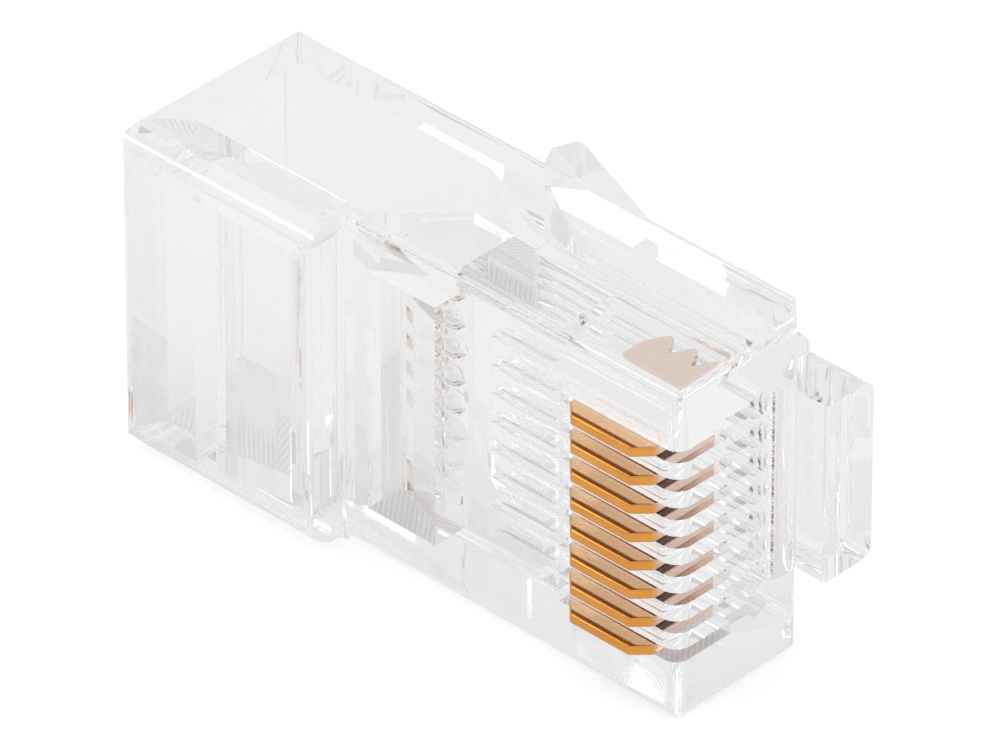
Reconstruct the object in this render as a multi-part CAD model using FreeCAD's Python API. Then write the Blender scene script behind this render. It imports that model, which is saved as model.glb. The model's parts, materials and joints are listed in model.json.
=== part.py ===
"""Eight-position modular plug: clear moulded housing, latch lever, clamp bars and contact blades.

Millimetres.  The shapes are drawn from the nose corner: X runs along the plug, 0 at the nose
face and negative towards the cable, Y runs through its thickness, 0 at the contact side and
positive towards the latch, and Z runs across its width.  The plug stands on one side wall, at
Z = 0.  At the end every shape moves by ORIGIN, to the middle of that wall.
"""
import math
import os

import FreeCAD
import Part

V = FreeCAD.Vector

# ---- housing: outside ----
WIDTH = 11.68                  # across the side walls
LENGTH = 21.7                  # nose face to rear mouth
NOSE_THICK = 6.4               # contact side to latch side, at the nose
STEP_BACK = 13.75              # nose face to the step of the thick rear block
STEP_OUT = 1.4                 # rise of the rear block on the contact side
NOSE_CONTACT_R = 0.5           # nose edge, contact side, at the side walls
NOSE_BEVEL = 1.35              # nose edge, latch side: a bevel
NOSE_BEVEL_R = 0.35            # and the rounds at its two ends
STEP_R = 0.25                  # both corners of the step
REAR_CONTACT_R = 0.5           # rear edge, contact side
REAR_LATCH_R = 0.3             # rear edge, latch side
LONG_R = 0.5                   # the long edges
REAR_LONG_R = 1.2              # the long edges of the rear block, contact side
END_R = 0.4                    # side edges of the nose and of the rear mouth

# ---- housing: cable cavity ----
SIDE_WALL = 1.0                # side walls beside the cavity
LATCH_WALL = 1.15              # wall on the latch side
CONTACT_WALL = 1.0             # wall on the contact side, in front of the step
MOUTH_DEPTH = 1.0              # lead-in of the rear mouth
MOUTH_FLARE_SIDE = 0.45        # how much the lead-in opens at each side
MOUTH_FLARE_LATCH = 0.45       # the same, on the latch side
MOUTH_FLARE_CONTACT = 1.2      # the same, on the contact side
RAMP_FOOT = 13.6               # where the wire ramp leaves the cavity floor
RAMP_HEAD = 11.4               # where it reaches the wires' level
ROOF_FOOT = 12.6               # where the cavity's latch side starts to come down
ROOF_HEAD = 9.6                # where it reaches the wires' level
COMB_BACK = 8.9                # rear face of the comb that parts the wires
FUNNEL_LENGTH = 0.8            # lead-in of each wire channel
CAVITY_TAPER = 0.5             # narrowing of the cavity at each side, from ramp foot to comb

# ---- contacts, slots and wire channels ----
WAYS = 8
PITCH = 1.016
BLADE_THICK = 0.35
SLOT_CLEAR = 0.04              # at each side of a blade
BLADE_REAR = 3.65              # behind the nose face, below the shoulder
BLADE_FRONT = 0.8
BLADE_PROUD = 0.65             # crest above the contact side, before crimping
BLADE_CUT = 0.54               # bevel at both ends of the crest
BLADE_CUT_R = 0.12             # and the rounds of its corners
BLADE_EDGE = 0.05              # eased long edges of the crest
SHOULDER_OUT = 0.6             # rear shoulder, behind the rest of the blade
SHOULDER_DEPTH = 0.45          # foot of the shoulder, below the contact side
SHOULDER_SLOPE = 0.35          # run of its sloping underside
TINES = 3
TINE_TIP = 3.1                 # depth of the tips below the contact side
TINE_LENGTH = 0.72
TINE_TIP_WIDTH = 0.16
BARB_OUT = 0.06                # retention barb at the blade's rear end
BARB_DEPTH = 1.2               # its tip, below the contact side
BARB_RISE = 0.15               # from the blade to its tip
BARB_FALL = 0.35               # and back to the blade
SLOT_REAR = 4.75
SLOT_STEP_DEPTH = 1.0          # below this the slot runs further back
SLOT_DEEP_REAR = 5.85
SLOT_NOSE_DEPTH = 2.3          # floor of the slot where it opens through the nose
NOSE_WALL = 0.7                # nose face to the end of the wire channels
CHANNEL_R = 0.46
CHANNEL_DEPTH = 3.75           # channel axis below the contact side
CHANNEL_END = 0.7              # a funnel's narrow end, as a share of the channel's radius
FUNNEL_WALL = 0.04             # left between two funnels
DIVIDER_R = 0.6                # round of the dividers at the nose

# ---- latch ----
LATCH_WIDTH = 6.35
LIP_AHEAD = 0.85               # front lip, ahead of the nose face
LATCH_OUTER = NOSE_THICK + 1.3 # outer face of the latch at its root
LIP_INNER = LATCH_OUTER - 2.24 # inner side of the lip
LIP_R = 0.8                    # corners of the lip, seen from the front
LIP_INNER_R = 0.15             # its inner edge
LIP_OUTER_R = 0.35             # its outer edge
WEB_INSIDE = 0.3               # the root reaches this far into the nose
RECESS_WIDTH = 6.72
RECESS_DEPTH = 1.75            # floor of the recess, below the latch side
RECESS_FRONT = 1.15            # front end of the recess, behind the nose face
RECESS_GAP = 1.25              # height of the recess under the root
RECESS_RAMP_R = 1.5            # where its floor turns up
RAMP_START = 8.5               # where the recess floor starts to climb
RAMP_END = 11.25               # where it reaches the latch side
HINGE_BACK = 2.3               # bending line of the latch, behind the nose face
KNUCKLE_R = 0.85
ROOT_REAR = 0.45               # root block ends this far ahead of the bending line
HINGE_CLEAR = 0.015            # between a knuckle and its seat
ARM_ANGLE = 20.6               # slope of the arm, degrees
ARM_BEND = 3.4                 # where the outer face starts to slope
ARM_THICK = 1.5
SHOULDER_BACK = 8.3            # locking shoulders, behind the nose face
LUG_ANGLE = 13.0               # slope of the outer face of the locking lugs
LUG_LEAN = 0.25                # undercut of the shoulder face
LUG_R = 0.25                   # outer corner of a lug
ARM_BEND_R = 0.6               # outer corner of the bend
ARM_INNER_R = 0.4              # inner corner of the bend
ARM_INNER_AHEAD = 0.3          # that corner, along the arm from the bend
TAB_WIDTH = 3.25
TAB_END = 15.6
TAB_BEVEL = 0.55
TAB_TIP_R = 0.2
TAB_INNER_R = 0.1

# ---- clamp bars ----
CLAMP_CLEAR = 0.07             # around a bar, in its window
CABLE_WINDOW = (18.5, 14.45)   # rear and front edge, behind the nose face
CABLE_SIDE = 1.05              # side of this window, from the outside of the plug
CABLE_HINGE = (18.25, -0.1)
CABLE_KNUCKLE_R = 0.5
WIRE_WINDOW = (12.65, 9.85)
WIRE_SIDE = 1.55
WIRE_HINGE = (12.4, 1.75)
WIRE_KNUCKLE_R = 0.4
BAR_FRONT_CLEAR = 0.15         # between a bar and the front edge of its window
BAR_NECK = 0.05                # a bar leaves its knuckle this far ahead of the hinge line
CABLE_OUTER_START = 0.55       # where the cable bar's outer face starts, ahead of its hinge
CABLE_OUTER_IN = (0.05, 0.5)   # outer face behind the block's, at its rear and its front
CABLE_TOE = (0.15, 0.7)        # front toe: run back and depth
CABLE_HEEL = (0.55, 1.12)      # where the toe meets the inner face
CABLE_INNER = (2.0, 1.14)      # where the inner face starts to fall away
CABLE_INNER_REAR = (0.3, 0.78) # and where it meets the knuckle
WIRE_OUTER_START = 0.7         # where the wire bar's outer face starts, ahead of its hinge
WIRE_TOE = 0.3                 # bevel of its toe
WIRE_FOOT = 0.1                # its inner face starts this far from the ramp's head

OVER = 1.0                     # how far a cutting shape reaches past what it cuts
ORIGIN = V(LENGTH / 2, -NOSE_THICK / 2, 0)
MID = WIDTH / 2
RECESS_FLOOR = NOSE_THICK - RECESS_DEPTH
RECESS_TOP = RECESS_FLOOR + RECESS_GAP
ROOF = NOSE_THICK - LATCH_WALL
WIRE_LOW = CHANNEL_DEPTH - CHANNEL_R
WIRE_HIGH = CHANNEL_DEPTH + CHANNEL_R


def prism(corners, low, high):
    """Extrude a closed XY outline, given as (x, y) corners, from Z = low to Z = high."""
    points = [V(x, y, low) for x, y in corners]
    face = Part.Face(Part.makePolygon(points + points[:1]))
    return face.extrude(V(0, 0, high - low))


def rounded(corners, radii):
    """A planar wire through 3-D corners, each rounded by its own radius."""
    edges = []
    starts = []
    ends = []
    arcs = []
    count = len(corners)
    for i, here in enumerate(corners):
        to_last = (corners[i - 1] - here).normalize()
        to_next = (corners[(i + 1) % count] - here).normalize()
        half = to_last.getAngle(to_next) / 2
        back = radii[i] / math.tan(half)
        start = here + to_last * back
        end = here + to_next * back
        starts.append(start)
        ends.append(end)
        if radii[i] > 0:
            middle_way = (to_last + to_next).normalize()
            centre = here + middle_way * (radii[i] / math.sin(half))
            arcs.append(Part.Arc(start, centre - middle_way * radii[i], end).toShape())
        else:
            arcs.append(None)
    for i in range(count):
        if arcs[i]:
            edges.append(arcs[i])
        gap = starts[(i + 1) % count] - ends[i]
        if gap.Length > 1e-6:
            edges.append(Part.LineSegment(ends[i], starts[(i + 1) % count]).toShape())
    return Part.Wire(edges)


def round_prism(corners, radii, low, high):
    """As prism, with each corner of the outline rounded."""
    wire = rounded([V(x, y, low) for x, y in corners], radii)
    return Part.Face(wire).extrude(V(0, 0, high - low))


def box(x0, x1, y0, y1, z0, z1):
    return Part.makeBox(x1 - x0, y1 - y0, z1 - z0, V(x0, y0, z0))


def post(x, y, radius, low, high):
    """A cylinder along Z."""
    return Part.makeCylinder(radius, high - low, V(x, y, low))


def way_centres():
    first = MID - PITCH * (WAYS - 1) / 2
    return [first + PITCH * i for i in range(WAYS)]


# ---- housing ----

def side_outline():
    """The plug seen along Z: nose, latch side, rear, rear block and step."""
    corners = [(0, 0), (0, NOSE_THICK - NOSE_BEVEL), (-NOSE_BEVEL, NOSE_THICK),
               (-LENGTH, NOSE_THICK), (-LENGTH, -STEP_OUT), (-STEP_BACK, -STEP_OUT),
               (-STEP_BACK, 0)]
    radii = [NOSE_CONTACT_R, NOSE_BEVEL_R, NOSE_BEVEL_R, REAR_LATCH_R, REAR_CONTACT_R,
             STEP_R, STEP_R]
    return round_prism(corners, radii, 0, WIDTH)


def section(low_y, contact_r, x0, x1):
    """A bar along X with the plug's cross-section, its long edges rounded."""
    corners = [V(x0, low_y, 0), V(x0, NOSE_THICK, 0), V(x0, NOSE_THICK, WIDTH), V(x0, low_y, WIDTH)]
    return Part.Face(rounded(corners, [contact_r, LONG_R, LONG_R, contact_r])).extrude(V(x1 - x0, 0, 0))


def top_outline():
    """The plug seen along Y, its nose and rear edges rounded."""
    low = -STEP_OUT - OVER
    corners = [V(0, low, 0), V(0, low, WIDTH), V(-LENGTH, low, WIDTH), V(-LENGTH, low, 0)]
    depth = NOSE_THICK + STEP_OUT + 2 * OVER
    return Part.Face(rounded(corners, [END_R] * 4)).extrude(V(0, depth, 0))


def outer_block():
    seam = -STEP_BACK + STEP_R
    front = section(0, LONG_R, seam, OVER)
    rear = section(-STEP_OUT, REAR_LONG_R, -LENGTH - OVER, seam)
    body = side_outline().common(front.fuse(rear))
    return body.common(top_outline())


def cable_cavity():
    """The space for the cable and its wires, from the mouth to the comb."""
    rear = -LENGTH - OVER
    corners = [(rear, CONTACT_WALL), (-RAMP_FOOT, CONTACT_WALL), (-RAMP_HEAD, WIRE_LOW),
               (-COMB_BACK, WIRE_LOW), (-COMB_BACK, WIRE_HIGH), (-ROOF_HEAD, WIRE_HIGH),
               (-ROOF_FOOT, ROOF), (rear, ROOF)]
    side = prism(corners, 0, WIDTH)
    low = SIDE_WALL
    high = WIDTH - SIDE_WALL
    points = [V(rear, 0, low), V(-RAMP_FOOT, 0, low), V(-COMB_BACK, 0, low + CAVITY_TAPER),
              V(-COMB_BACK, 0, high - CAVITY_TAPER), V(-RAMP_FOOT, 0, high), V(rear, 0, high)]
    plan = Part.Face(Part.makePolygon(points + points[:1])).extrude(V(0, NOSE_THICK, 0))
    return side.common(plan)


def mouth():
    """The flared lead-in of the cable cavity."""
    def loop(x, grow):
        y0 = CONTACT_WALL - MOUTH_FLARE_CONTACT * grow
        y1 = ROOF + MOUTH_FLARE_LATCH * grow
        z0 = SIDE_WALL - MOUTH_FLARE_SIDE * grow
        z1 = WIDTH - z0
        points = [V(x, y0, z0), V(x, y1, z0), V(x, y1, z1), V(x, y0, z1)]
        return Part.makePolygon(points + points[:1])
    return Part.makeLoft([loop(-LENGTH, 1), loop(-LENGTH + MOUTH_DEPTH, 0)], True, True)


def wire_channel(z):
    """One round channel with its funnel."""
    length = COMB_BACK - NOSE_WALL
    start = V(-COMB_BACK, CHANNEL_DEPTH, z)
    bore = Part.makeCylinder(CHANNEL_R, length, start, V(1, 0, 0))
    return bore.fuse(funnel(z, (PITCH - FUNNEL_WALL) / 2))


def funnel(z, half):
    """A square lead-in that narrows to the channel."""
    def loop(x, size):
        points = [V(x, CHANNEL_DEPTH - size, z - size), V(x, CHANNEL_DEPTH + size, z - size),
                  V(x, CHANNEL_DEPTH + size, z + size), V(x, CHANNEL_DEPTH - size, z + size)]
        return Part.makePolygon(points + points[:1])
    inner = CHANNEL_R * CHANNEL_END
    return Part.makeLoft([loop(-COMB_BACK, half), loop(-COMB_BACK + FUNNEL_LENGTH, inner)], True, True)


def blade_slot(z):
    """The slot of one blade: open at the contact side and through the nose."""
    half = BLADE_THICK / 2 + SLOT_CLEAR
    outer = box(-SLOT_REAR, OVER, -OVER, SLOT_NOSE_DEPTH, z - half, z + half)
    deep = box(-SLOT_DEEP_REAR, -NOSE_WALL, SLOT_STEP_DEPTH, CHANNEL_DEPTH, z - half, z + half)
    return outer.fuse(deep)


def divider_round():
    """What is cut away so that the dividers end in a round at the nose."""
    centres = way_centres()
    half = BLADE_THICK / 2 + SLOT_CLEAR
    low = centres[0] - half
    high = centres[-1] + half
    corner = box(-DIVIDER_R, OVER, -OVER, DIVIDER_R, low, high)
    return corner.cut(post(-DIVIDER_R, DIVIDER_R, DIVIDER_R, low, high))


def latch_recess():
    """The pocket in the latch side that the lever is pressed into."""
    low = MID - RECESS_WIDTH / 2
    high = MID + RECESS_WIDTH / 2
    above = NOSE_THICK + OVER
    corners = [(-RECESS_FRONT, RECESS_FLOOR), (-RECESS_FRONT, above), (-RAMP_END, above),
               (-RAMP_END, NOSE_THICK), (-RAMP_START, RECESS_FLOOR)]
    front_r = 0.45 * RECESS_GAP
    return round_prism(corners, [front_r, 0, 0, 0, RECESS_RAMP_R], low, high)


def root_block():
    """The latch's root: a web on the nose that carries the front lip and the bending line."""
    low = MID - LATCH_WIDTH / 2
    high = MID + LATCH_WIDTH / 2
    rear = -HINGE_BACK + ROOT_REAR
    foot = RECESS_FLOOR - WEB_INSIDE
    corners = [(LIP_AHEAD, LIP_INNER), (LIP_AHEAD, LATCH_OUTER), (rear, LATCH_OUTER),
               (rear, RECESS_TOP), (-RECESS_FRONT, RECESS_TOP), (-RECESS_FRONT, foot),
               (-NOSE_BEVEL_R, foot), (-NOSE_BEVEL_R, LIP_INNER)]
    radii = [LIP_INNER_R, LIP_OUTER_R, 0, 0, RECESS_GAP / 2, 0, 0, 0]
    block = round_prism(corners, radii, low, high)
    back = -HINGE_BACK - OVER
    corners = [V(back, LATCH_OUTER, low), V(back, LATCH_OUTER, high), V(back, foot, high),
               V(back, foot, low)]
    ahead = V(LIP_AHEAD + OVER - back, 0, 0)
    block = block.common(Part.Face(rounded(corners, [LIP_R, LIP_R, 0, 0])).extrude(ahead))
    seat_r = KNUCKLE_R + HINGE_CLEAR
    seat = post(-HINGE_BACK, LATCH_OUTER - KNUCKLE_R, seat_r, low - OVER, high + OVER)
    return block.cut(seat)


def window(edges, side, depth, hinge, radius):
    """The opening of one clamp bar in the contact wall, with the seat of its knuckle."""
    low = side
    high = WIDTH - side
    rear, front = edges
    hole = box(-rear, -front, -STEP_OUT - OVER, depth, low, high)
    seat = post(-hinge[0], hinge[1], radius + HINGE_CLEAR, low, high)
    return hole.fuse(seat)


def housing():
    body = outer_block()
    body = body.cut(latch_recess())
    body = body.fuse(root_block())
    cuts = [cable_cavity(), mouth(), divider_round()]
    cuts += [wire_channel(z) for z in way_centres()]
    cuts += [blade_slot(z) for z in way_centres()]
    inside = CONTACT_WALL + OVER / 2
    cuts.append(window(CABLE_WINDOW, CABLE_SIDE, inside, CABLE_HINGE, CABLE_KNUCKLE_R))
    cuts.append(window(WIRE_WINDOW, WIRE_SIDE, WIRE_HIGH, WIRE_HINGE, WIRE_KNUCKLE_R))
    return body.cut(cuts).removeSplitter()


# ---- latch lever ----

def along_arm(distance, offset):
    """A point on the sloping arm: distance rearward of the bend, offset outward."""
    slope = math.radians(ARM_ANGLE)
    x = -ARM_BEND - distance * math.cos(slope) + offset * math.sin(slope)
    y = LATCH_OUTER + distance * math.sin(slope) + offset * math.cos(slope)
    return (x, y)


def latch_lever():
    """The arm with its knuckle, its two locking lugs and the finger tab."""
    slope = math.radians(ARM_ANGLE)
    run = (TAB_END - ARM_BEND) / math.cos(slope)
    hinge_y = LATCH_OUTER - KNUCKLE_R
    inner_start = along_arm(ARM_INNER_AHEAD, -ARM_THICK)
    tip_out = along_arm(run, 0)
    tip_in = along_arm(run, -ARM_THICK + TAB_BEVEL)
    bevel = along_arm(run - TAB_BEVEL, -ARM_THICK)
    arm = [(-HINGE_BACK, hinge_y + KNUCKLE_R), (-ARM_BEND, LATCH_OUTER), tip_out, tip_in, bevel,
           inner_start, (-HINGE_BACK, hinge_y - KNUCKLE_R)]
    tab_low = MID - TAB_WIDTH / 2
    tab_high = MID + TAB_WIDTH / 2
    radii = [0, ARM_BEND_R, TAB_TIP_R, 0, TAB_INNER_R, ARM_INNER_R, 0]
    centre = round_prism(arm, radii, tab_low, tab_high)
    lug_rise = (SHOULDER_BACK - ARM_BEND) * math.tan(math.radians(LUG_ANGLE))
    inner_rise = (SHOULDER_BACK + LUG_LEAN + inner_start[0]) * math.tan(slope)
    lugs = [(-HINGE_BACK, hinge_y + KNUCKLE_R), (-ARM_BEND, LATCH_OUTER),
            (-SHOULDER_BACK, LATCH_OUTER + lug_rise),
            (-SHOULDER_BACK - LUG_LEAN, inner_start[1] + inner_rise),
            inner_start, (-HINGE_BACK, hinge_y - KNUCKLE_R)]
    low = MID - LATCH_WIDTH / 2
    high = MID + LATCH_WIDTH / 2
    wide = round_prism(lugs, [0, ARM_BEND_R, LUG_R, 0, ARM_INNER_R, 0], low, high)
    knuckle = post(-HINGE_BACK, hinge_y, KNUCKLE_R, low, high)
    return wide.fuse([centre, knuckle]).removeSplitter()


# ---- clamp bars ----

def cable_clamp():
    """The bar that is folded in on the cable's jacket."""
    x0 = -CABLE_HINGE[0]
    neck = x0 + BAR_NECK
    front = -CABLE_WINDOW[1] - BAR_FRONT_CLEAR
    corners = [(neck, CABLE_HINGE[1] - CABLE_KNUCKLE_R),
               (x0 + CABLE_OUTER_START, -STEP_OUT + CABLE_OUTER_IN[0]),
               (front, -STEP_OUT + CABLE_OUTER_IN[1]), (front - CABLE_TOE[0], CABLE_TOE[1]),
               (front - CABLE_HEEL[0], CABLE_HEEL[1]), (front - CABLE_INNER[0], CABLE_INNER[1]),
               (x0 + CABLE_INNER_REAR[0], CABLE_INNER_REAR[1]),
               (neck, CABLE_HINGE[1] + CABLE_KNUCKLE_R)]
    low = CABLE_SIDE + CLAMP_CLEAR
    high = WIDTH - low
    bar = prism(corners, low, high)
    return bar.fuse(post(x0, CABLE_HINGE[1], CABLE_KNUCKLE_R, low, high)).removeSplitter()


def wire_clamp():
    """The smaller bar that is folded in on the eight wires."""
    x0 = -WIRE_HINGE[0]
    neck = x0 + BAR_NECK
    front = -WIRE_WINDOW[1] - BAR_FRONT_CLEAR
    corners = [(neck, WIRE_HINGE[1] - WIRE_KNUCKLE_R), (x0 + WIRE_OUTER_START, CONTACT_WALL),
               (front - WIRE_FOOT, CONTACT_WALL), (front, WIRE_LOW - WIRE_TOE),
               (front - WIRE_TOE, WIRE_LOW), (-RAMP_HEAD + WIRE_FOOT, WIRE_LOW),
               (neck, WIRE_HINGE[1] + WIRE_KNUCKLE_R)]
    low = WIRE_SIDE + CLAMP_CLEAR
    high = WIDTH - low
    bar = prism(corners, low, high)
    return bar.fuse(post(x0, WIRE_HINGE[1], WIRE_KNUCKLE_R, low, high)).removeSplitter()


# ---- contact blades ----

def tine_edge():
    """The toothed lower edge, from the front of the blade to its rear."""
    span = BLADE_REAR - BLADE_FRONT
    step = span / TINES
    root = TINE_TIP - TINE_LENGTH
    points = []
    for i in range(TINES):
        tip = -BLADE_FRONT - step * (i + 0.5)
        if i > 0:
            points.append((-BLADE_FRONT - step * i, root))
        points.append((tip + TINE_TIP_WIDTH / 2, TINE_TIP))
        points.append((tip - TINE_TIP_WIDTH / 2, TINE_TIP))
    return points


def contact(z):
    """One blade: bevelled crest with a rear shoulder, a barb, and insulation-piercing tines."""
    low = z - BLADE_THICK / 2
    high = z + BLADE_THICK / 2
    root = TINE_TIP - TINE_LENGTH
    crest = -BLADE_PROUD
    shoulder = -BLADE_REAR - SHOULDER_OUT
    corners = [(-BLADE_FRONT, root), (-BLADE_FRONT, crest + BLADE_CUT),
               (-BLADE_FRONT - BLADE_CUT, crest), (shoulder + BLADE_CUT, crest),
               (shoulder, crest + BLADE_CUT), (shoulder, SHOULDER_DEPTH),
               (-BLADE_REAR, SHOULDER_DEPTH + SHOULDER_SLOPE), (-BLADE_REAR, BARB_DEPTH - BARB_RISE),
               (-BLADE_REAR - BARB_OUT, BARB_DEPTH), (-BLADE_REAR, BARB_DEPTH + BARB_FALL),
               (-BLADE_REAR, root)]
    teeth = tine_edge()[::-1]
    ease = BLADE_CUT_R
    radii = [ease, ease, ease, ease, ease, ease, ease, 0, 0, 0, ease] + [0] * len(teeth)
    blade = round_prism(corners + teeth, radii, low, high)
    eased = [e for e in blade.Edges if abs(e.CenterOfMass.y - crest) < 1e-4 and e.Length > 1]
    return blade.makeChamfer(BLADE_EDGE, eased)


def parts():
    made = {"housing": housing(), "latch_lever": latch_lever(),
            "cable_clamp": cable_clamp(), "wire_clamp": wire_clamp()}
    for number, z in enumerate(reversed(way_centres()), start=1):
        made["contact_%d" % number] = contact(z)
    return made


def main():
    os.makedirs("parts", exist_ok=True)
    for name, shape in parts().items():
        shape.translate(ORIGIN)
        solids = shape.Solids
        print(name, len(solids), "solid", round(shape.Volume, 3), "mm3", "valid", shape.isValid())
        shape.exportStep("parts/%s.step" % name)


main()
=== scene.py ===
"""Modular plug: finishes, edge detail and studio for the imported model."""

import json
import math
import random

import bmesh
import bpy
from mathutils import Matrix, Vector

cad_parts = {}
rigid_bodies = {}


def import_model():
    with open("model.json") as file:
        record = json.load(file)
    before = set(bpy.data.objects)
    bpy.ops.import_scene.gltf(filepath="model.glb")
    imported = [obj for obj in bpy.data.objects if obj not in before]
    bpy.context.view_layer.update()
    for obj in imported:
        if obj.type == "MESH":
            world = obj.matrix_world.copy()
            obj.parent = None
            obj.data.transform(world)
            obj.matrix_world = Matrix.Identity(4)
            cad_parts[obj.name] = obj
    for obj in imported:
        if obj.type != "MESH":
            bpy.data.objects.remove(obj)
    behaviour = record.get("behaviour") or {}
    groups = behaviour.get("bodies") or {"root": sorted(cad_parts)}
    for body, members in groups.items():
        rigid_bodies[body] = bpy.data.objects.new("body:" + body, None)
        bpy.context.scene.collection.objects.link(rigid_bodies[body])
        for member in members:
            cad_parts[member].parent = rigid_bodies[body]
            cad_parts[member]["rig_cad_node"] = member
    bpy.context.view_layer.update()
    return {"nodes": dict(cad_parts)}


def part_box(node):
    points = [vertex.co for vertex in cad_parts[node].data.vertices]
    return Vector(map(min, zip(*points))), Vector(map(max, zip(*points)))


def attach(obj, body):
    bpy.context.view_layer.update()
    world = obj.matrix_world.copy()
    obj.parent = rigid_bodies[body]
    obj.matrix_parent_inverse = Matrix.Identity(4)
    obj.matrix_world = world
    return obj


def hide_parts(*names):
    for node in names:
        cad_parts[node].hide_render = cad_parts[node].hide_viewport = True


bl_info = {
    "name": "Modular Plug",
    "version": (1, 0, 0),
    "blender": (4, 5, 0),
    "location": "View3D > Sidebar > Modular Plug",
    "description": "Dresses a clear eight-position modular plug and sets up its studio",
    "category": "Object",
}

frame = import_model()
HOUSING_LOW, HOUSING_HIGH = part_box("housing")

MM = 0.001
WAYS = 8
NOSE_X = HOUSING_LOW.x + 21.7 * MM      # flat nose face, behind the lip of the latch
CONTACT_Y = HOUSING_LOW.y + 1.4 * MM    # slotted side; the rear block stands out past it
STEP_X = NOSE_X - 13.75 * MM            # where the rear block begins
FLOOR_Z = HOUSING_LOW.z
TOP_Z = HOUSING_HIGH.z

MERGE = 1e-7                    # joins the loose triangles of a CAD mesh
FLAT = math.radians(0.3)        # triangles that bend less than this are one face
CORNER = math.radians(35)       # an edge that bends more than this shades crisp
BEND = math.radians(4)          # and so does one that bends this much between broad faces
STRIP = 0.5 * MM                # a narrower face belongs to a round
POLYCARBONATE_IOR = 1.585

# depths under the top of a crest where one band of colour turns into the next: plating into a
# painted shade line, that line into the flank colour, the flank into bare strip
PLATED = (0.06 * MM, 0.09 * MM)
# the painted shade line, a dark band that stands for the shade in the gap beside the crest, ends
# over this span
SHADE_LINE_END = (0.16 * MM, 0.25 * MM)
THINNED = (0.45 * MM, 0.80 * MM)
FLANK_FACING = 0.85             # a face this square to the crest's length is one of its sides

# the parting bead starts and ends short of the step and of the contact slots
BEAD_START = STEP_X + 0.6 * MM
BEAD_END = NOSE_X - 4.4 * MM
BEAD_SIDES = 6

PAPER_HALF = 1.5                # half the width of the paper, in metres
PAPER_DROP = 0.02 * MM          # keeps it clear of the face that the plug stands on
LAMP_REACH = 0.35               # from the plug to each lamp, in metres
WALLS_MOST = 8                  # bounces followed through the clear walls

MOULDINGS = {
    "housing": "body",
    "latch_lever": "latch",
    "cable_clamp": "jacket_bar",
    "wire_clamp": "wire_bar",
}


# ---- helpers ----

def linear(code):
    """An sRGB hex colour as linear RGBA."""
    parts = [int(code[i:i + 2], 16) / 255 for i in (1, 3, 5)]
    return [c / 12.92 if c <= 0.04045 else ((c + 0.055) / 1.055) ** 2.4 for c in parts] + [1.0]


def linear_of(colour):
    """A colour property as RGBA for a socket."""
    return [*colour, 1.0]


def add(tree, kind, settings=None, inputs=None):
    """Adds a node. settings are its properties; an input is a value, or a (node, output) link."""
    node = tree.nodes.new(kind)
    for key, value in (settings or {}).items():
        setattr(node, key, value)
    for key, value in (inputs or {}).items():
        if isinstance(value, tuple) and isinstance(value[0], bpy.types.Node):
            tree.links.new(value[0].outputs[value[1]], node.inputs[key])
        else:
            node.inputs[key].default_value = value
    return node


def material(name):
    """An empty node material, or the one already made under that name."""
    found = bpy.data.materials.get(name)
    if found:
        return found, False
    made = bpy.data.materials.new(name)
    made.use_nodes = True
    made.node_tree.nodes.clear()
    return made, True


def mesh_object(name, shape, finish):
    """An object at the origin from a bmesh, which is freed."""
    mesh = bpy.data.meshes.new(name)
    shape.to_mesh(mesh)
    shape.free()
    mesh.materials.append(finish)
    made = bpy.data.objects.new(name, mesh)
    bpy.context.scene.collection.objects.link(made)
    return made


def breadth(face):
    """A face's area over its longest side: small for the strips that make up a round."""
    return face.calc_area() / max(e.calc_length() for e in face.edges)


def merged_copy(node):
    """A CAD node's mesh with its loose triangles joined and its flat faces whole."""
    shape = bmesh.new()
    shape.from_mesh(frame["nodes"][node].data)
    bmesh.ops.remove_doubles(shape, verts=shape.verts, dist=MERGE)
    bmesh.ops.dissolve_limit(shape, angle_limit=FLAT, verts=shape.verts, edges=shape.edges)
    return shape


def crisp_edges(shape):
    """Keeps corners and bends between broad faces crisp, and lets the rounds shade as one."""
    for face in shape.faces:
        face.smooth = True
    wide = {face: breadth(face) > STRIP for face in shape.faces}
    for edge in shape.edges:
        if len(edge.link_faces) != 2:
            continue
        angle = edge.calc_face_angle(0)
        both = all(wide[face] for face in edge.link_faces)
        edge.smooth = not (angle > CORNER or (both and angle > BEND))


def stand_for(piece, node, body):
    """Evens out the shading of a finished copy and puts it in its CAD node's place."""
    piece.modifiers.new("Even shading", "WEIGHTED_NORMAL").keep_sharp = True
    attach(piece, body)
    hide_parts(node)


# ---- materials ----

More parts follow.
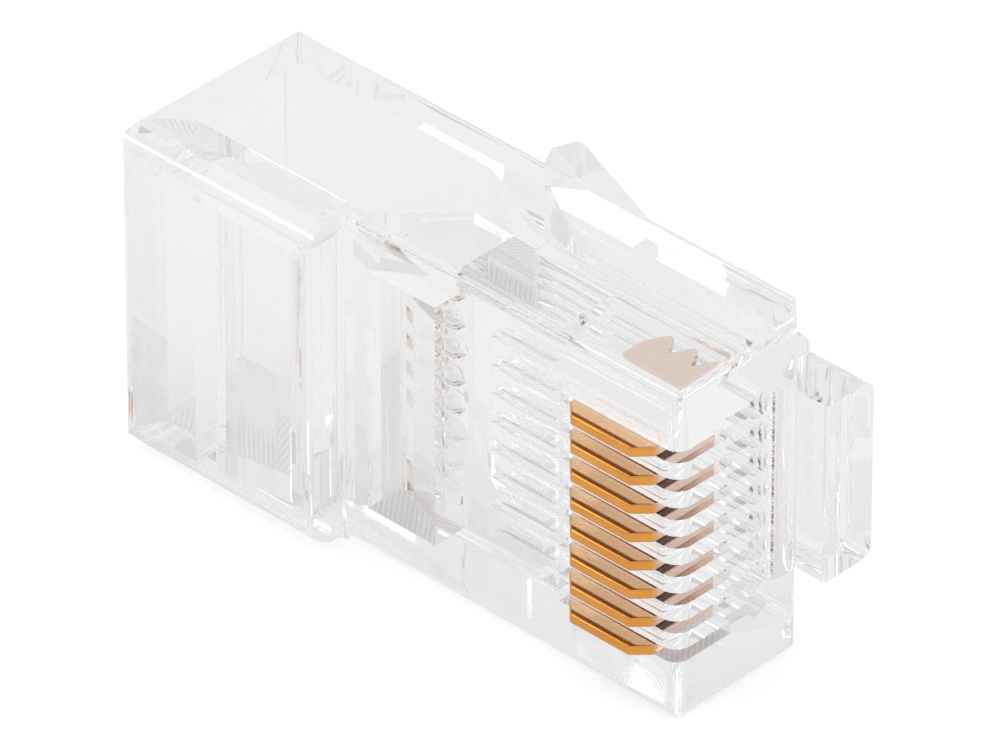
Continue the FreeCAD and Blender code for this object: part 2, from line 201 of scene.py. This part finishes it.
def clear_polycarbonate(look):
    """Injection-moulded clear polycarbonate from a polished tool.

    Water-clear and hard-edged, with long shallow ripples where the melt flowed, and fine grey
    parallel tool marks on the side that the plug stands on. Light that has crossed many walls
    is let straight out, so the deepest parts of the moulding stay clear and don't go black.
    """
    made, new = material("clear_polycarbonate_moulded")
    if not new:
        return made
    tree = made.node_tree
    place = add(tree, "ShaderNodeTexCoord")
    # flow ripple: waves a few millimetres long
    flow = add(tree, "ShaderNodeTexNoise", inputs={
        "Vector": (place, "Object"), "Scale": 1 / look.flow_length, "Detail": 0.0})
    # tool marks: parallel lines across the standing side, drawn coarser than real so they show
    turned = add(tree, "ShaderNodeMapping", inputs={
        "Vector": (place, "Object"), "Rotation": (0, 0, look.mark_angle)})
    marks = add(tree, "ShaderNodeTexWave", {"wave_type": "BANDS", "bands_direction": "X"}, {
        "Vector": (turned, "Vector"), "Scale": math.pi / 10 / look.mark_pitch})
    # they show on the face that touches the floor, along the slotted side
    spot = add(tree, "ShaderNodeSeparateXYZ", inputs={"Vector": (place, "Object")})
    low = add(tree, "ShaderNodeMapRange", inputs={
        "Value": (spot, "Z"), "From Min": FLOOR_Z + 0.02 * MM, "From Max": FLOOR_Z + 0.06 * MM,
        "To Min": 1.0, "To Max": 0.0})
    near = add(tree, "ShaderNodeMapRange", {"interpolation_type": "SMOOTHSTEP"}, {
        "Value": (spot, "Y"), "From Min": CONTACT_Y + look.mark_reach,
        "From Max": CONTACT_Y + look.mark_reach + look.mark_fade, "To Min": 1.0, "To Max": 0.0})
    patch = add(tree, "ShaderNodeMath", {"operation": "MULTIPLY"}, {
        0: (near, "Result"), 1: (low, "Result")})
    on_side = add(tree, "ShaderNodeMath", {"operation": "MULTIPLY"}, {
        0: (marks, "Fac"), 1: (patch, "Value")})
    ripple = add(tree, "ShaderNodeBump", inputs={
        "Height": (flow, "Fac"), "Strength": 0.15, "Distance": look.flow_height})
    tone = add(tree, "ShaderNodeMix", {"data_type": "RGBA"}, {
        "Factor": (on_side, "Value"), "A": linear_of(look.tint), "B": linear_of(look.mark_tone)})
    ground = add(tree, "ShaderNodeMapRange", inputs={
        "Value": (on_side, "Value"), "To Min": look.roughness, "To Max": look.mark_roughness})
    body = add(tree, "ShaderNodeBsdfPrincipled", inputs={
        "Base Color": (tone, "Result"), "Roughness": (ground, "Result"),
        "IOR": POLYCARBONATE_IOR, "Transmission Weight": 1.0, "Normal": (ripple, "Normal")})
    # lamps shine through, and so does what lies behind a great many walls
    path = add(tree, "ShaderNodeLightPath")
    deep = add(tree, "ShaderNodeMath", {"operation": "GREATER_THAN"}, {
        0: (path, "Ray Depth"), 1: look.walls})
    straight = add(tree, "ShaderNodeMath", {"operation": "MAXIMUM"}, {
        0: (path, "Is Shadow Ray"), 1: (deep, "Value")})
    clear = add(tree, "ShaderNodeBsdfTransparent", inputs={"Color": linear("#FEFEFE")})
    mix = add(tree, "ShaderNodeMixShader", inputs={
        "Fac": (straight, "Value"), 1: (body, "BSDF"), 2: (clear, "BSDF")})
    add(tree, "ShaderNodeOutputMaterial", inputs={"Surface": (mix, "Shader")})
    return made


def plated_bronze(look):
    """Phosphor bronze strip, stamped, with gold plated over the crest only.

    The crest is a warm bright gold, with a painted shade line under it: a dark band that stands for
    the shade in the gap beside the crest. Down the flanks the plating thins out to a paler colour,
    and deeper down the pinkish bronze shows; both are also lightened as a painted reflection of the
    white surroundings. Faint lines run along the strip from rolling.
    """
    made, new = material("phosphor_bronze_gold_plated")
    if not new:
        return made
    tree = made.node_tree
    place = add(tree, "ShaderNodeTexCoord")
    patches = add(tree, "ShaderNodeTexNoise", inputs={
        "Vector": (place, "Object"), "Scale": 1 / look.patch_size, "Detail": 2.0})
    gold = add(tree, "ShaderNodeMix", {"data_type": "RGBA"}, {
        "Factor": (patches, "Fac"), "A": linear_of(look.gold), "B": linear_of(look.gold_deep)})
    # bands by depth under the crest: plating, a painted shade line for the shade in the gap beside
    # the crest, bare strip
    depth = add(tree, "ShaderNodeSeparateXYZ", inputs={"Vector": (place, "Object")})
    crest = CONTACT_Y - look.proud
    line, below, thin = (
        add(tree, "ShaderNodeMapRange", {"interpolation_type": "SMOOTHSTEP"}, {
            "Value": (depth, "Y"), "From Min": crest + start, "From Max": crest + end})
        for start, end in (PLATED, SHADE_LINE_END, THINNED))
    # mixes in the painted shade line under the crest, a dark colour painted where there is only
    # shade
    painted_shade_line = add(tree, "ShaderNodeMix", {"data_type": "RGBA"}, {
        "Factor": (line, "Result"), "A": (gold, "Result"), "B": linear_of(look.painted_shade_line)})
    strip = add(tree, "ShaderNodeMix", {"data_type": "RGBA"}, {
        "Factor": (below, "Result"), "A": (painted_shade_line, "Result"), "B": linear_of(look.flank)})
    # the cut edge all round the crest keeps its plating; only the two sides take the paler flank
    # colour, which is thinner plating lightened as a painted reflection of the white surroundings
    facing = add(tree, "ShaderNodeNewGeometry")
    turn = add(tree, "ShaderNodeSeparateXYZ", inputs={"Vector": (facing, "True Normal")})
    sideways = add(tree, "ShaderNodeMath", {"operation": "ABSOLUTE"}, {0: (turn, "Z")})
    on_flank = add(tree, "ShaderNodeMath", {"operation": "GREATER_THAN"}, {
        0: (sideways, "Value"), 1: FLANK_FACING})
    flank = add(tree, "ShaderNodeMix", {"data_type": "RGBA"}, {
        "Factor": (on_flank, "Value"), "A": (gold, "Result"), "B": (strip, "Result")})
    # deeper down, the pale bare-strip colour, lightened as a painted reflection of the white
    # surroundings
    tone = add(tree, "ShaderNodeMix", {"data_type": "RGBA"}, {
        "Factor": (thin, "Result"), "A": (flank, "Result"), "B": linear_of(look.bronze)})
    # rolling lines: much longer along the strip than across it, and a little duller or brighter
    along = add(tree, "ShaderNodeMapping", inputs={
        "Vector": (place, "Object"), "Scale": (0.05, 1.0, 1.0)})
    lines = add(tree, "ShaderNodeTexNoise", inputs={
        "Vector": (along, "Vector"), "Scale": 1 / look.line_pitch, "Detail": 1.0})
    dull = add(tree, "ShaderNodeMapRange", inputs={
        "Value": (lines, "Fac"), "From Min": 0.35, "From Max": 0.65,
        "To Min": look.roughness - 0.03, "To Max": look.roughness + 0.05})
    metal = add(tree, "ShaderNodeBsdfPrincipled", inputs={
        "Base Color": (tone, "Result"), "Metallic": 1.0, "Roughness": (dull, "Result")})
    add(tree, "ShaderNodeOutputMaterial", inputs={"Surface": (metal, "BSDF")})
    return made


def frosted_flash_painted_highlight(look):
    """Clear polycarbonate that leaked into the parting of the tool and tore off: a dull white,
    which is partly the torn plastic and partly a painted highlight along the rounded top edge.
    """
    made, new = material("polycarbonate_flash_painted_highlight")
    if not new:
        return made
    tree = made.node_tree
    place = add(tree, "ShaderNodeTexCoord")
    torn = add(tree, "ShaderNodeTexNoise", inputs={
        "Vector": (place, "Object"), "Scale": 1 / look.grain, "Detail": 2.0})
    rough = add(tree, "ShaderNodeMapRange", inputs={
        "Value": (torn, "Fac"), "From Min": 0.35, "From Max": 0.65, "To Min": 0.15, "To Max": 0.5})
    bumps = add(tree, "ShaderNodeBump", inputs={
        "Height": (torn, "Fac"), "Strength": 0.25, "Distance": 0.02 * MM})
    # plain white with little transmission: partly the dull torn plastic, partly a painted highlight
    # of the rounded edge
    body = add(tree, "ShaderNodeBsdfPrincipled", inputs={
        "Base Color": linear("#FFFFFF"), "Roughness": (rough, "Result"),
        "IOR": POLYCARBONATE_IOR, "Transmission Weight": 0.05, "Normal": (bumps, "Normal")})
    add(tree, "ShaderNodeOutputMaterial", inputs={"Surface": (body, "BSDF")})
    return made


def white_sweep(look):
    """Matt white studio paper: it reads as plain white, and keeps the plug's soft shadow."""
    made, new = material("studio_paper_white")
    if not new:
        return made
    tree = made.node_tree
    path = add(tree, "ShaderNodeLightPath")
    inside = add(tree, "ShaderNodeMath", {"operation": "MAXIMUM"}, {
        0: (path, "Is Glossy Ray"), 1: (path, "Is Transmission Ray")})
    mirrored = add(tree, "ShaderNodeMath", {"operation": "MULTIPLY"}, {
        0: (inside, "Value"), 1: look.paper_glow})
    seen = add(tree, "ShaderNodeMath", {"operation": "MULTIPLY"}, {
        0: (path, "Is Camera Ray"), 1: look.paper_lift})
    glow = add(tree, "ShaderNodeMath", {"operation": "MAXIMUM"}, {
        0: (seen, "Value"), 1: (mirrored, "Value")})
    paper = add(tree, "ShaderNodeBsdfDiffuse", inputs={"Color": linear("#EEEEEE")})
    lift = add(tree, "ShaderNodeEmission", inputs={
        "Color": linear("#FFFFFF"), "Strength": (glow, "Value")})
    both = add(tree, "ShaderNodeAddShader", inputs={0: (paper, "BSDF"), 1: (lift, "Emission")})
    add(tree, "ShaderNodeOutputMaterial", inputs={"Surface": (both, "Shader")})
    return made


# ---- settings ----

class MODPLUG_PG_clear(bpy.types.PropertyGroup):
    tint: bpy.props.FloatVectorProperty(
        name="Tint", description="Colour of the clear plastic", subtype="COLOR",
        default=linear("#FEFEFE")[:3], min=0, max=1)
    roughness: bpy.props.FloatProperty(
        name="Roughness", description="Polish of the moulding tool", default=0.0, min=0, max=1)
    mark_roughness: bpy.props.FloatProperty(
        name="Tool mark roughness", description="How dull the tool marks are", default=0.2,
        min=0, max=1)
    flow_length: bpy.props.FloatProperty(
        name="Flow length", description="Length of the ripples left by the melt",
        default=3.0 * MM, unit="LENGTH")
    flow_height: bpy.props.FloatProperty(
        name="Flow height", description="Height of those ripples", default=0.05 * MM, unit="LENGTH")
    mark_pitch: bpy.props.FloatProperty(
        name="Tool mark pitch", description="Spacing of the tool marks on the standing side",
        default=0.16 * MM, unit="LENGTH")
    mark_reach: bpy.props.FloatProperty(
        name="Tool mark reach", description="How far the marks run in from the slotted side",
        default=2.6 * MM, unit="LENGTH")
    mark_fade: bpy.props.FloatProperty(
        name="Tool mark fade", description="How far they take to fade out past that",
        default=1.0 * MM, unit="LENGTH")
    mark_tone: bpy.props.FloatVectorProperty(
        name="Tool mark tone", description="Grey of the ground tool marks", subtype="COLOR",
        default=linear("#E6E4E6")[:3], min=0, max=1)
    walls: bpy.props.FloatProperty(
        name="Walls", description="Walls that light crosses before it is let straight out",
        default=6, min=4, max=24)
    mark_angle: bpy.props.FloatProperty(
        name="Tool mark angle", description="Direction of the tool marks",
        default=math.radians(-39), subtype="ANGLE")


class MODPLUG_PG_gold(bpy.types.PropertyGroup):
    gold: bpy.props.FloatVectorProperty(
        name="Gold", description="Colour of the plating", subtype="COLOR",
        default=linear("#F2AE5C")[:3], min=0, max=1)
    gold_deep: bpy.props.FloatVectorProperty(
        name="Deep gold", description="Colour where the plating is thicker", subtype="COLOR",
        default=linear("#E09540")[:3], min=0, max=1)
    # bare strip colour, made pale as a painted reflection of the white surroundings
    bronze: bpy.props.FloatVectorProperty(
        name="Bronze", description="Colour of the bare strip", subtype="COLOR",
        default=linear("#F0DACD")[:3], min=0, max=1)
    # thinner plating, made pale as a painted reflection of the white surroundings
    flank: bpy.props.FloatVectorProperty(
        name="Flank", description="Colour of the thin plating on the sides", subtype="COLOR",
        default=linear("#E9BE92")[:3], min=0, max=1)
    # painted shade: this dark line stands for the shade in the gap beside the crest
    painted_shade_line: bpy.props.FloatVectorProperty(
        name="Stamped line", description="Colour of the line under the crest", subtype="COLOR",
        default=linear("#7E4A20")[:3], min=0, max=1)
    proud: bpy.props.FloatProperty(
        name="Proud", description="How far the crests stand out of their slots",
        default=0.65 * MM, unit="LENGTH")
    roughness: bpy.props.FloatProperty(
        name="Roughness", description="Polish of the strip", default=0.17, min=0, max=1)
    line_pitch: bpy.props.FloatProperty(
        name="Rolling lines", description="Spacing of the rolling lines in the strip",
        default=0.05 * MM, unit="LENGTH")
    patch_size: bpy.props.FloatProperty(
        name="Patch size", description="Size of the patches of deeper gold",
        default=0.8 * MM, unit="LENGTH")
    edge_ease: bpy.props.FloatProperty(
        name="Edge ease", description="Rounding of the stamped edges",
        default=0.07 * MM, unit="LENGTH")


class MODPLUG_PG_flash(bpy.types.PropertyGroup):
    bead: bpy.props.FloatProperty(
        name="Bead", description="Greatest thickness of the bead", default=0.16 * MM, unit="LENGTH")
    tear: bpy.props.FloatProperty(
        name="Tear length", description="Length of each tear along it", default=0.11 * MM,
        unit="LENGTH")
    grain: bpy.props.FloatProperty(
        name="Grain", description="Size of the roughness of the torn plastic",
        default=0.12 * MM, unit="LENGTH")
    edge_round: bpy.props.FloatProperty(
        name="Edge round", description="Radius of the edge that the bead runs along",
        default=0.5 * MM, unit="LENGTH")
    seed: bpy.props.IntProperty(name="Seed", description="Picks the pattern of tears", default=3)


class MODPLUG_PG_studio(bpy.types.PropertyGroup):
    paper_lift: bpy.props.FloatProperty(
        name="Paper lift", description="What makes the white paper read as plain white",
        default=0.45, min=0, max=1)
    paper_glow: bpy.props.FloatProperty(
        name="Paper glow", description="The same, where the paper is seen through the plug",
        default=0.15, min=0, max=1)
    sky: bpy.props.FloatProperty(
        name="Tent", description="Brightness of the white tent around the plug", default=0.83)
    card: bpy.props.FloatVectorProperty(
        name="Card", description="Colour of the grey cards that give clear edges their lines",
        subtype="COLOR", default=linear("#D0CDCF")[:3], min=0, max=1)
    lamp_power: bpy.props.FloatProperty(
        name="Lamp power", description="Power of the soft box", default=0.04, unit="POWER")
    strip_power: bpy.props.FloatProperty(
        name="Strip power", description="Power of the strip light that draws the edges",
        default=0.065, unit="POWER")
    azimuth: bpy.props.FloatProperty(
        name="Camera azimuth", description="Around the plug, from the contact side",
        default=math.radians(43.887), subtype="ANGLE")
    elevation: bpy.props.FloatProperty(
        name="Camera elevation", description="Above the floor",
        default=math.radians(34.804), subtype="ANGLE")
    distance: bpy.props.FloatProperty(
        name="Camera distance", description="From the point aimed at",
        default=408.27 * MM, unit="LENGTH")
    aim: bpy.props.FloatVectorProperty(
        name="Aim", description="Point aimed at, from the nose corner on the floor",
        subtype="TRANSLATION", unit="LENGTH", default=(-7.782 * MM, 0.627 * MM, 8.411 * MM))
    lens: bpy.props.FloatProperty(name="Lens", description="Focal length in mm", default=500.0)


# ---- operators ----

class MODPLUG_OT_mouldings(bpy.types.Operator):
    """Makes the clear housing, its latch lever and its two clamp bars"""
    bl_idname = "modplug.mouldings"
    bl_label = "Clear mouldings"

    def execute(self, context):
        finish = clear_polycarbonate(context.scene.modplug_clear)
        for node, body in MOULDINGS.items():
            shape = merged_copy(node)
            crisp_edges(shape)
            piece = mesh_object("clear_" + node, shape, finish)
            stand_for(piece, node, body)
        return {"FINISHED"}


class MODPLUG_OT_contacts(bpy.types.Operator):
    """Makes the eight gold-plated contact blades, with eased stamped edges"""
    bl_idname = "modplug.contacts"
    bl_label = "Contact blades"

    def execute(self, context):
        look = context.scene.modplug_gold
        finish = plated_bronze(look)
        for way in range(1, WAYS + 1):
            shape = merged_copy(f"contact_{way}")
            crisp_edges(shape)
            piece = mesh_object(f"gold_contact_{way}", shape, finish)
            ease = piece.modifiers.new("Stamped edges", "BEVEL")
            ease.width = look.edge_ease
            ease.segments = 3
            ease.limit_method = "ANGLE"
            ease.angle_limit = math.radians(40)
            stand_for(piece, f"contact_{way}", f"blade_{way}")
        return {"FINISHED"}


class MODPLUG_OT_flash(bpy.types.Operator):
    """Makes the ragged bead that the parting of the tool left along the top of the slotted side, in
    a white that is partly a painted highlight of that rounded edge
    """
    bl_idname = "modplug.flash"
    bl_label = "Parting flash"

    def execute(self, context):
        look = context.scene.modplug_flash
        # the bead's white is partly a painted highlight of the rounded edge
        finish = frosted_flash_painted_highlight(look)
        torn = random.Random(look.seed)
        inset = look.edge_round * (1 - math.sqrt(0.5))
        shape = bmesh.new()
        bmesh.ops.create_circle(
            shape, segments=BEAD_SIDES, radius=look.bead / 2, cap_ends=True)
        bmesh.ops.rotate(
            shape, verts=shape.verts, matrix=Matrix.Rotation(math.radians(90), 3, "Y"))
        bmesh.ops.translate(
            shape, verts=shape.verts, vec=(BEAD_START, CONTACT_Y + inset, TOP_Z - inset))
        end = shape.faces[:]
        for step in range(int((BEAD_END - BEAD_START) / look.tear)):
            made = bmesh.ops.extrude_face_region(shape, geom=end)["geom"]
            if step:  # the first one closes the bead's end
                bmesh.ops.delete(shape, geom=end, context="FACES_ONLY")
            end = [item for item in made if isinstance(item, bmesh.types.BMFace)]
            ring = [item for item in made if isinstance(item, bmesh.types.BMVert)]
            bmesh.ops.translate(shape, verts=ring, vec=(look.tear, 0, 0))
            middle = sum((corner.co for corner in ring), Vector()) / len(ring)
            wanted = look.bead / 2 * torn.uniform(0.35, 1.0)
            grow = wanted / (ring[0].co - middle).length
            bmesh.ops.scale(
                shape, verts=ring, vec=(1, grow, grow), space=Matrix.Translation(-middle))
        bmesh.ops.recalc_face_normals(shape, faces=shape.faces)
        for face in shape.faces:
            face.smooth = True
        piece = mesh_object("parting_flash_painted_highlight", shape, finish)
        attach(piece, "body")
        return {"FINISHED"}


class MODPLUG_OT_stage(bpy.types.Operator):
    """Sets up the white paper, the tent, the two lamps and the camera"""
    bl_idname = "modplug.stage"
    bl_label = "Studio"

    def execute(self, context):
        look = context.scene.modplug_studio
        scene = context.scene
        shape = bmesh.new()
        bmesh.ops.create_grid(shape, x_segments=8, y_segments=8, size=PAPER_HALF)
        bmesh.ops.translate(shape, verts=shape.verts, vec=(0, 0, FLOOR_Z - PAPER_DROP))
        floor = mesh_object("paper_floor", shape, white_sweep(look))

        world = bpy.data.worlds.new("white_tent")
        scene.world = world
        world.use_nodes = True
        tree = world.node_tree
        tree.nodes.clear()
        path = add(tree, "ShaderNodeLightPath")
        # grey cards in soft upright bands, met only by reflection and through the plastic
        around = add(tree, "ShaderNodeTexCoord")
        turned = add(tree, "ShaderNodeMapping", inputs={
            "Vector": (around, "Generated"), "Rotation": (0, 0, math.radians(20))})
        bands = add(tree, "ShaderNodeTexWave", {"bands_direction": "X"}, {
            "Vector": (turned, "Vector"), "Scale": 0.25, "Distortion": 1.0, "Detail": 0.0})
        cards = add(tree, "ShaderNodeMapRange", inputs={
            "Value": (bands, "Fac"), "From Min": 0.1, "From Max": 0.7})
        through = add(tree, "ShaderNodeMath", {"operation": "MAXIMUM"}, {
            0: (path, "Is Glossy Ray"), 1: (path, "Is Transmission Ray")})
        tent = add(tree, "ShaderNodeMix", {"data_type": "RGBA"}, {
            "Factor": (cards, "Result"), "A": linear_of(look.card), "B": linear_of([look.sky] * 3)})
        plain = add(tree, "ShaderNodeMix", {"data_type": "RGBA"}, {
            "Factor": (through, "Value"), "A": linear_of([look.sky] * 3), "B": (tent, "Result")})
        seen = add(tree, "ShaderNodeMix", {"data_type": "RGBA"}, {
            "Factor": (path, "Is Camera Ray"), "A": (plain, "Result"), "B": linear("#FFFFFF")})
        sky = add(tree, "ShaderNodeBackground", inputs={"Color": (seen, "Result"), "Strength": 1.0})
        add(tree, "ShaderNodeOutputWorld", inputs={"Surface": (sky, "Background")})

        lit = Vector((NOSE_X - 10 * MM, CONTACT_Y, FLOOR_Z + 6 * MM))  # middle of the slotted side
        lamps = {  # power, width, height and the way towards it
            "soft_box": (look.lamp_power, 0.30, 0.22, (-0.33, -0.29, 0.90)),
            "strip": (look.strip_power, 0.02, 0.25, (-0.57, -0.57, 0.59)),
        }
        for name, (power, wide, tall, way) in lamps.items():
            light = bpy.data.lights.new(name, "AREA")
            light.energy = power
            light.shape = "RECTANGLE"
            light.size = wide
            light.size_y = tall
            lamp = bpy.data.objects.new(name, light)
            lamp.location = lit + Vector(way) * LAMP_REACH
            lamp.rotation_euler = (-Vector(way)).to_track_quat("-Z", "Y").to_euler()
            scene.collection.objects.link(lamp)

        camera = bpy.data.objects.new("camera", bpy.data.cameras.new("camera"))
        camera.data.lens = look.lens
        camera.data.sensor_width = 36.0
        camera.data.clip_start = 0.01
        camera.data.clip_end = 10.0
        aim = Vector((NOSE_X, CONTACT_Y, FLOOR_Z)) + Vector(look.aim)
        level = math.cos(look.elevation)
        out = Vector((math.sin(look.azimuth) * level, -math.cos(look.azimuth) * level,
                      math.sin(look.elevation)))
        camera.location = aim + out * look.distance
        camera.rotation_euler = (-out).to_track_quat("-Z", "Y").to_euler()
        scene.collection.objects.link(camera)
        scene.camera = camera
        scene.view_settings.view_transform = "Standard"
        # inner reflections count as glossy: fewer of them leave dark rims on the rounds
        scene.cycles.max_bounces = WALLS_MOST
        scene.cycles.transmission_bounces = WALLS_MOST
        scene.cycles.glossy_bounces = WALLS_MOST
        scene.cycles.transparent_max_bounces = 24
        return {"FINISHED"}


class MODPLUG_PT_panel(bpy.types.Panel):
    bl_idname = "MODPLUG_PT_panel"
    bl_label = "Modular Plug"
    bl_space_type = "VIEW_3D"
    bl_region_type = "UI"
    bl_category = "Modular Plug"

    def draw(self, context):
        for step in OPERATORS:
            self.layout.operator(step.bl_idname)


SETTINGS = {
    "modplug_clear": MODPLUG_PG_clear,
    "modplug_gold": MODPLUG_PG_gold,
    "modplug_flash": MODPLUG_PG_flash,
    "modplug_studio": MODPLUG_PG_studio,
}
OPERATORS = (MODPLUG_OT_mouldings, MODPLUG_OT_contacts, MODPLUG_OT_flash, MODPLUG_OT_stage)


def register():
    for name, group in SETTINGS.items():
        bpy.utils.register_class(group)
        setattr(bpy.types.Scene, name, bpy.props.PointerProperty(type=group))
    for operator in OPERATORS:
        bpy.utils.register_class(operator)
    bpy.utils.register_class(MODPLUG_PT_panel)


def unregister():
    bpy.utils.unregister_class(MODPLUG_PT_panel)
    for operator in reversed(OPERATORS):
        bpy.utils.unregister_class(operator)
    for name, group in reversed(SETTINGS.items()):
        delattr(bpy.types.Scene, name)
        bpy.utils.unregister_class(group)


def main():
    for item in list(bpy.data.objects):
        if "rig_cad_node" not in item and not item.name.startswith("body:"):
            bpy.data.objects.remove(item)
    register()
    bpy.ops.modplug.mouldings()
    bpy.ops.modplug.contacts()
    bpy.ops.modplug.flash()
    bpy.ops.modplug.stage()


if __name__ == "__main__":
    main()
